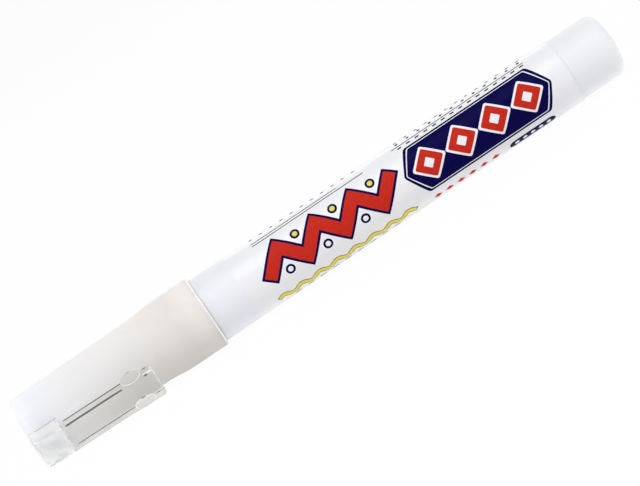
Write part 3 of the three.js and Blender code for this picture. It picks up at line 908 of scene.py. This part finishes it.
def clip_slot(length, height, saddle, band, bands):
    """The material of a face: a painted dark line; the foot, the tip face and the lower side made
    hazy and lighter as painted light; a quiet face; or clear.
    """
    rounded = len(SIDE_STRIPS) + EDGE_STEPS
    from_end = bands - 1 - band
    in_fillet = height < FILLET_TOP and length > FILLET_START
    if saddle and not in_fillet:
        on_line = FOOT_LINE_SPAN[0] < length < FOOT_LINE_SPAN[1]
        return PAINTED_LINE if 0 < band < rounded and on_line else FOOT
    inner = height < CLIP_THICKNESS / 2
    line_span = LINE_SPAN if inner else OUTER_LINE_SPAN
    if any(low < length < high for low, high in (line_span, TIP_PAINTED_LINE_SPAN)):
        if band < rounded if inner else 0 < band <= rounded:
            return PAINTED_LINE
        if inner and from_end in LOWER_LINE_BANDS:
            return PAINTED_LINE
    by_bump = band <= rounded and LINE_SPAN[1] < length < TIP_PAINTED_LINE_SPAN[1]
    lower_edge = inner and length > FOOT_LENGTH and len(SIDE_STRIPS) <= from_end <= rounded
    if in_fillet or by_bump or lower_edge or length < REAR_SPAN:
        return QUIET
    tip_face = length > TIP_FACE_START and from_end > rounded + TIP_FACE_BANDS
    if length < FOOT_SPAN or tip_face:
        return FOOT
    return SIDE if from_end < len(SIDE_STRIPS) else CLEAR


def inside(loop, point):
    crossings = 0
    for p, q in zip(loop, loop[1:] + loop[:1]):
        if (p.y > point.y) != (q.y > point.y):
            x = p.x + (q.x - p.x) * (point.y - p.y) / (q.y - p.y)
            crossings += x > point.x
    return crossings % 2 == 1


def filled(outline):
    """The inside of an outline as small triangles, so that a bent side stays smooth."""
    loop = [Vector((length, height)) for length, height, _ in outline]
    extra = []
    for i in range(1, round(CLIP_LENGTH / FILL_STEP[0])):
        for j in FILL_ROWS:
            point = Vector((i * FILL_STEP[0], j * FILL_STEP[1]))
            if inside(loop, point) and min((point - q).length for q in loop) > FILL_STEP[1] / 2:
                extra.append(point)
    count = len(loop)
    edges = [(i, (i + 1) % count) for i in range(count)]
    found, _, triangles, origins, _, _ = delaunay_2d_cdt(loop + extra, edges, [], FILL_INSIDE, TINY)
    points = []
    for point, origin in zip(found, origins):
        source = origin[0] if origin else count
        points.append(outline[source] if source < count else (point.x, point.y, False))
    return points, triangles


def make_bump():
    """Round bar across the clip, with rounded rims that stand a little proud of its sides. The rims
    carry a painted highlight, with a painted shadow where they come closest to the cap.
    """
    rows = [(-BUMP_HALF, BUMP_RADIUS - BUMP_EDGE)]
    for step in range(1, EDGE_STEPS + 1):
        angle = QUARTER_TURN * step / EDGE_STEPS
        rows.append((
            -BUMP_HALF + BUMP_EDGE * (1 - math.cos(angle)),
            BUMP_RADIUS - BUMP_EDGE * (1 - math.sin(angle)),
        ))
    rows += [(-b, radius) for b, radius in reversed(rows)]
    vertices, faces, slots = [], [], []
    for row, (b, radius) in enumerate(rows):
        for step in range(BUMP_STEPS):
            angle = FULL_TURN * step / BUMP_STEPS
            vertices.append(clip_point(
                BUMP_MIDDLE + radius * math.cos(angle),
                BUMP_HEIGHT + radius * math.sin(angle), False, 0.0, b))
        if not row:
            continue
        faces += ring_faces((row - 1) * BUMP_STEPS, BUMP_STEPS)
        for step in range(BUMP_STEPS):
            turn = 360 * (step + 0.5) / BUMP_STEPS
            rim = PAINTED_LINE if abs(turn - RIM_PAINTED_SHADOW_AT) < RIM_PAINTED_SHADOW_DEGREES else PAINTED_RIM_HIGHLIGHT
            slots.append(QUIET if row == EDGE_STEPS + 1 else rim)
    last = (len(rows) - 1) * BUMP_STEPS
    faces += [list(range(BUMP_STEPS)), list(range(last, last + BUMP_STEPS))]
    slots += [QUIET, SIDE]
    return smooth(new_object("clip_bump", vertices, faces, CLIP_MATERIALS, slots))


def make_clip():
    outline = clip_outline(0.0)
    columns = clip_columns()
    count = len(outline)
    bands = len(columns) - 1
    vertices, faces, slots = [], [], []
    for column, (b, depth) in enumerate(columns):
        vertices += [clip_point(*point, depth, b) for point in clip_outline(depth)]
        if not column:
            continue
        faces += ring_faces((column - 1) * count, count)
        slots += [clip_slot(*point, column - 1, bands) for point in outline]
    for b, depth in (columns[0], columns[-1]):
        points, triangles = filled(clip_outline(depth))
        start = len(vertices)
        vertices += [clip_point(*point, depth, b) for point in points]
        for triangle in triangles:
            faces.append([start + i for i in triangle])
            middle = sum(points[i][0] for i in triangle) / 3
            # Only the side towards +B gets the painted light; the other side stays clear.
            slots.append(FOOT if middle < FOOT_LENGTH else SIDE if b > 0 else CLEAR)
    made = new_object("clear_clip", vertices, faces, CLIP_MATERIALS, slots)
    weld(made)
    smooth(made)
    boolean(made, "UNION", make_bump())
    tenon = pen_box(
        "tenon", TENON_X, (TENON_BOTTOM, TENON_TOP), (-TENON_HALF, TENON_HALF))
    boolean(made, "UNION", smooth(tenon))
    weld(made)
    return smooth(made)


clip = make_clip()
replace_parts(clip, "pocket_clip")
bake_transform(clip)

# Print on the label: drawn flat as (x, arc) in millimetres, wrapped onto the film as thin ink.
# Arc 0 faces the camera, and the arc grows upwards in the picture, away from the clip.
FACING_ANGLE = math.radians(-31.5)
INK_STEP = 0.3
INK_LAYER = 0.01
DISC_STEPS = 40
PILL_STEPS = 16
MITRE_LIMIT = 0.5


def disc(x, y, radius, steps=DISC_STEPS):
    return arc((x, y), (radius, radius), 0, FULL_TURN, steps)[:-1]


def rounded_polygon(corners, radius):
    """A polygon with each corner rounded."""
    return filleted([(x, y, radius) for x, y in corners], closed=True)


def pill(x0, x1, y, half):
    up = QUARTER_TURN
    right = arc((x1, y), (half, half), -up, up, PILL_STEPS)
    return right + arc((x0, y), (half, half), up, 3 * up, PILL_STEPS)


def lozenge(x, y, reach, height):
    return [(x - reach, y), (x, y - height), (x + reach, y), (x, y + height)]


def triangle(x, y, reach, height):
    return [(x - reach, y), (x + reach, y), (x, y + height)]


def ribbon(points, half, past=0.0):
    """A line of even width along points, which may run past its two ends."""
    start, end = Vector(points[0]), Vector(points[-1])
    start += (start - Vector(points[1])).normalized() * past
    end += (end - Vector(points[-2])).normalized() * past
    points = [start, *points[1:-1], end]
    left, right = [], []
    for i, point in enumerate(points):
        here = Vector(point)
        before = Vector(points[max(i - 1, 0)])
        after = Vector(points[min(i + 1, len(points) - 1)])
        into = (here - before).normalized() if i else (after - here).normalized()
        out = (after - here).normalized() if i < len(points) - 1 else into
        along = (into + out).normalized()
        across = Vector((-along.y, along.x)) * half / max(MITRE_LIMIT, along.dot(into))
        left.append(tuple(here + across))
        right.append(tuple(here - across))
    return left + right[::-1]


def dash(x, y, reach, half):
    return ribbon([(x - reach, y), (x + reach, y)], half)


class Print:
    """Flat shapes, gathered into one thin closed mesh for each ink and layer."""

    def __init__(self):
        self.shapes = {}

    def add(self, colour, layer, outline, holes=()):
        self.shapes.setdefault((colour, layer), []).append((outline, holes))

    def flat_mesh(self, shapes):
        """The shapes as triangles, cut across so that they can bend round the film."""
        work = bmesh.new()
        for outline, holes in shapes:
            loops = [[Vector((x, y, 0)) for x, y in loop] for loop in (outline, *holes)]
            corners = [work.verts.new(point) for loop in loops for point in loop]
            for corner_numbers in tessellate_polygon(loops):
                work.faces.new([corners[i] for i in corner_numbers])
        low = min(v.co.y for v in work.verts)
        high = max(v.co.y for v in work.verts)
        for step in range(math.ceil(low / INK_STEP), math.floor(high / INK_STEP) + 1):
            bmesh.ops.bisect_plane(
                work, geom=[*work.verts, *work.edges, *work.faces],
                plane_co=(0, step * INK_STEP, 0), plane_no=(0, 1, 0), dist=TINY)
        bmesh.ops.recalc_face_normals(work, faces=work.faces)
        return work

    def build(self):
        made = []
        for (colour, layer), shapes in sorted(self.shapes.items()):
            work = self.flat_mesh(shapes)
            work.verts.index_update()
            top = BARREL_RADIUS + INK_LAYER * layer
            flat = [v.co.copy() for v in work.verts]
            vertices = []
            for radius in (top, top - INK_LAYER):
                for point in flat:
                    angle = FACING_ANGLE - point.y / BARREL_RADIUS
                    vertices.append(round_point(point.x, radius, angle))
            count = len(flat)
            faces = []
            for face in work.faces:
                loop = [v.index for v in face.verts]
                faces += [loop, [i + count for i in reversed(loop)]]
            for edge in work.edges:
                if len(edge.link_faces) == 1:
                    p, q = (v.index for v in edge.verts)
                    faces.append([p, q, q + count, p + count])
            work.free()
            made.append(smooth(new_object(
                f"print_{colour}_{layer}", vertices, faces, [INKS[colour]])))
        return made


label_print = Print()

# Long panel towards the tail, with a line between two edges of (inset, round) and a row of diamonds
PANEL_X = (46.0, 80.5)
PANEL_ARC = (-5.6, 5.4)
PANEL_MIDDLE = sum(PANEL_ARC) / 2
PANEL_POINT = 3.0
PANEL_SLOPE = 1.15
PANEL_ROUND = 0.9
PANEL_LINE_EDGES = ((0.45, 0.6), (0.62, 0.5))
DIAMOND_COUNT = 4
DIAMOND_START = 5.8
DIAMOND_STEP = 7.65
DIAMOND_REACH = 3.25
DIAMOND_ROUND = 0.35
DIAMOND_INKS = (("white", 2, 3.9), ("red", 3, DIAMOND_REACH), ("white", 4, 1.25))


def panel_outline(inset, radius):
    """The panel's hexagon, drawn in by an even margin."""
    left, right = PANEL_X[0] + PANEL_SLOPE * inset, PANEL_X[1] - PANEL_SLOPE * inset
    low, high = PANEL_ARC[0] + inset, PANEL_ARC[1] - inset
    return rounded_polygon([
        (left, PANEL_MIDDLE), (left + PANEL_POINT, low), (right - PANEL_POINT, low),
        (right, PANEL_MIDDLE), (right - PANEL_POINT, high), (left + PANEL_POINT, high),
    ], radius)


panel_line = [panel_outline(*edge) for edge in PANEL_LINE_EDGES]
label_print.add("navy", 1, panel_outline(0.0, PANEL_ROUND))
label_print.add("white", 2, panel_line[0], panel_line[1:])
for i in range(DIAMOND_COUNT):
    middle = PANEL_X[0] + DIAMOND_START + i * DIAMOND_STEP
    for colour, layer, reach in DIAMOND_INKS:
        label_print.add(colour, layer, rounded_polygon(
            lozenge(middle, PANEL_MIDDLE, reach, reach), DIAMOND_ROUND * reach / DIAMOND_REACH))

# Broad zigzag in front of it, with spots of (arc, ink) in its bends
ZIGZAG_START = 13.5
ZIGZAG_STEP = 4.4
ZIGZAG_CORNERS = 8
ZIGZAG_MIDDLE = 0.4
ZIGZAG_REACH = 2.4
ZIGZAG_HALF = 1.75
ZIGZAG_FILL_HALF = 1.25
ZIGZAG_PAST = 0.5
SPOTS = ((-2.3, "white"), (3.1, "yellow"))
SPOT_RADIUS = 1.0
SPOT_FILL_RADIUS = 0.55

zigzag = [
    (ZIGZAG_START + i * ZIGZAG_STEP, ZIGZAG_MIDDLE + (ZIGZAG_REACH if i % 2 else -ZIGZAG_REACH))
    for i in range(ZIGZAG_CORNERS)
]
label_print.add("navy", 1, ribbon(zigzag, ZIGZAG_HALF, ZIGZAG_PAST))
label_print.add("red", 2, ribbon(zigzag, ZIGZAG_FILL_HALF))
for i, (x, _) in enumerate(zigzag[1:-1]):
    spot, fill = SPOTS[i % 2]
    label_print.add("navy", 1, disc(x, spot, SPOT_RADIUS))
    label_print.add(fill, 2, disc(x, spot, SPOT_FILL_RADIUS))

# Wave below the zigzag
WAVE_START = 13.0
WAVE_STEP = 0.4
WAVE_POINTS = 81
WAVE_MIDDLE = -7.3
WAVE_REACH = 0.55
WAVE_RATE = 1.5
WAVE_HALF = 0.62
WAVE_FILL_HALF = 0.47
WAVE_PAST = 0.15

wave = [
    (WAVE_START + i * WAVE_STEP, WAVE_MIDDLE + WAVE_REACH * math.sin(i * WAVE_STEP * WAVE_RATE))
    for i in range(WAVE_POINTS)
]
label_print.add("black", 1, ribbon(wave, WAVE_HALF, WAVE_PAST))
label_print.add("yellow", 2, ribbon(wave, WAVE_FILL_HALF))

# Thin rules of (arc, start, end), a pill, and rows of small marks: ink, layer, shape, its sizes,
# first x, step, count and arc
RULES = ((6.3, 14.0, 40.0), (7.1, 14.0, 34.0), (7.0, 47.0, 78.0))
RULE_HALF = 0.11
PILL = (68.0, 76.5, -8.2, 1.1)
MARK_ROWS = (
    ("black", 1, disc, (0.35, 20), 48.5, 2.6, 12, 8.0),
    ("black", 1, triangle, (0.5, 0.8), 14.5, 2.4, 11, 8.9),
    ("black", 1, triangle, (0.5, 0.8), 48.5, 2.4, 13, 8.9),
    ("black", 1, dash, (0.45, 0.2), 48.6, 2.05, 15, 6.25),
    ("red", 1, lozenge, (0.95, 0.8), 50.0, 2.7, 6, -8.2),
    ("black", 1, dash, (0.7, 0.16), 17.0, 2.9, 9, -9.2),
    ("white", 2, disc, (0.5, 24), 68.6, 1.85, 5, -8.2),
)

for y, x0, x1 in RULES:
    label_print.add("black", 1, ribbon([(x0, y), (x1, y)], RULE_HALF))
label_print.add("navy", 1, pill(*PILL))
for colour, layer, shape, sizes, start, step, count, y in MARK_ROWS:
    for i in range(count):
        label_print.add(colour, layer, shape(start + i * step, y, *sizes))

for piece in label_print.build():
    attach(piece, "barrel")

# Stage: pale floor that shows white to the camera and keeps a soft shadow, and glows close under
# the marker as painted light
FLOOR_HALF = 6.0
FLOOR_DROP = 0.00004
FLOOR_TONE = (0.94, 0.94, 0.94, 1)
FLOOR_GLOW_SHARE = 0.95
PAINTED_LIGHT_REACH = (0.001, 0.0075)
PAINTED_LIGHT_STRENGTH = 0.36


def light_path_mix(tree, seen, other):
    """Camera, glossy and transmission rays get the first shader, all others the second."""
    path = tree.nodes.new("ShaderNodeLightPath").outputs
    total = path["Is Camera Ray"]
    for ray in ("Is Glossy Ray", "Is Transmission Ray"):
        total = add_node(tree, "ShaderNodeMath", {0: total, 1: path[ray]}, operation="MAXIMUM")
    return add_node(tree, "ShaderNodeMixShader", {0: total, 1: other, 2: seen})


def painted_under_light(tree):
    """Painted light: the floor glows in a strip close under the marker, fading away from it, to
    light the marker's underside.
    """
    place = add_node(tree, "ShaderNodeTexCoord", {}, "Object")
    y = add_node(tree, "ShaderNodeSeparateXYZ", {"Vector": place}, "Y")
    offset = add_node(tree, "ShaderNodeMath", {0: y, 1: PEN_ORIGIN.y * MM}, operation="SUBTRACT")
    away = add_node(tree, "ShaderNodeMath", {0: offset}, operation="ABSOLUTE")
    fade = add_node(tree, "ShaderNodeMapRange", {
        "Value": away, "From Min": PAINTED_LIGHT_REACH[0], "From Max": PAINTED_LIGHT_REACH[1],
        "To Min": PAINTED_LIGHT_STRENGTH, "To Max": 0.0,
    })
    return add_node(tree, "ShaderNodeEmission", {"Strength": fade})


def floor_material():
    material = bpy.data.materials.new("stage_floor")
    material.use_nodes = True
    tree = material.node_tree
    tree.nodes.clear()
    pale = add_node(tree, "ShaderNodeBsdfDiffuse", {"Color": WHITE})
    glow = add_node(tree, "ShaderNodeEmission", {"Color": WHITE, "Strength": 1.0})
    seen = add_node(tree, "ShaderNodeMixShader", {0: FLOOR_GLOW_SHARE, 1: pale, 2: glow})
    diffuse = add_node(tree, "ShaderNodeBsdfDiffuse", {"Color": FLOOR_TONE})
    # For other rays the floor is diffuse, plus the painted light close under the marker.
    lit = add_node(tree, "ShaderNodeAddShader", {0: diffuse, 1: painted_under_light(tree)})
    output = tree.nodes.new("ShaderNodeOutputMaterial")
    tree.links.new(light_path_mix(tree, seen, lit), output.inputs["Surface"])
    return material


corners = [(-FLOOR_HALF, -FLOOR_HALF), (FLOOR_HALF, -FLOOR_HALF)]
corners += [(FLOOR_HALF, FLOOR_HALF), (-FLOOR_HALF, FLOOR_HALF)]
floor = new_object(
    "stage_floor", [(x, y, -FLOOR_DROP) for x, y in corners], [(0, 1, 2, 3)], [floor_material()])

# World: white to the camera, softer as a light
DOME_COLOUR = (0.97, 0.98, 1.0, 1)
DOME_STRENGTH = 0.42

world = bpy.data.worlds.new("studio")
bpy.context.scene.world = world
world.use_nodes = True
sky = world.node_tree
sky.nodes.clear()
sky_seen = add_node(sky, "ShaderNodeBackground", {"Color": WHITE, "Strength": 1.0})
dome = add_node(sky, "ShaderNodeBackground", {"Color": DOME_COLOUR, "Strength": DOME_STRENGTH})
sky_output = sky.nodes.new("ShaderNodeOutputWorld")
sky.links.new(light_path_mix(sky, sky_seen, dome), sky_output.inputs["Surface"])

# Softboxes: name, place and size in metres, and watts; each faces the middle of the marker
SOFTBOXES = (
    ("key_softbox", (-0.08, -0.54, 0.72), (1.2, 0.5), 4.7),
    ("tail_softbox", (1.0, -0.25, 0.15), (0.6, 0.3), 2.0),
    ("cap_softbox", (-0.9, -0.4, 0.2), (0.6, 0.3), 1.1),
    ("back_softbox", (0.1, 0.62, 0.42), (1.2, 0.4), 1.4),
)

for name, place, size, watts in SOFTBOXES:
    light = bpy.data.lights.new(name, "AREA")
    light.shape = "RECTANGLE"
    light.size, light.size_y = size
    light.energy = watts
    softbox = bpy.data.objects.new(name, light)
    bpy.context.scene.collection.objects.link(softbox)
    softbox.location = place
    softbox.rotation_euler = (-Vector(place)).to_track_quat("-Z", "Y").to_euler()

# Camera: the photograph's angle, with the cap's end a little nearer than the tail, rolled until
# the axis climbs to the right
IMAGE_WIDTH = 640
IMAGE_HEIGHT = 486
PIXELS_PER_MM = 5.11
AXIS_CLIMB = math.radians(33.93)
CAMERA_ELEVATION = -FACING_ANGLE - math.asin(-A_DIRECTION.z)
CAMERA_LEAD = math.radians(1.75)
LENS = 300.0
SENSOR = 36.0
AXIS_PIXEL = (310.2, 241.8)
AXIS_PIXEL_X = 24.145
VIEW_END = 50

square = Vector((0, -math.cos(CAMERA_ELEVATION), math.sin(CAMERA_ELEVATION)))
back = square * math.cos(CAMERA_LEAD) - X_DIRECTION * math.sin(CAMERA_LEAD)
along = X_DIRECTION * math.cos(CAMERA_LEAD) + square * math.sin(CAMERA_LEAD)
across = Vector((0, math.sin(CAMERA_ELEVATION), math.cos(CAMERA_ELEVATION)))
right = along * math.cos(AXIS_CLIMB) - across * math.sin(AXIS_CLIMB)
up = along * math.sin(AXIS_CLIMB) + across * math.cos(AXIS_CLIMB)
mm_right = (IMAGE_WIDTH / 2 - AXIS_PIXEL[0]) / PIXELS_PER_MM
mm_up = (AXIS_PIXEL[1] - IMAGE_HEIGHT / 2) / PIXELS_PER_MM
centre = pen_point(AXIS_PIXEL_X, 0, 0) + (right * mm_right + up * mm_up) * MM
distance = LENS * IMAGE_WIDTH / PIXELS_PER_MM / SENSOR * MM

camera_data = bpy.data.cameras.new("camera")
camera_data.lens = LENS
camera_data.sensor_width = SENSOR
camera_data.clip_end = VIEW_END
camera = bpy.data.objects.new("camera", camera_data)
bpy.context.scene.collection.objects.link(camera)
camera.matrix_world = Matrix((
    (right.x, up.x, back.x, 0),
    (right.y, up.y, back.y, 0),
    (right.z, up.z, back.z, 0),
    (0, 0, 0, 1),
))
camera.location = centre + back * distance
bpy.context.scene.camera = camera

bpy.context.scene.view_settings.view_transform = "Standard"
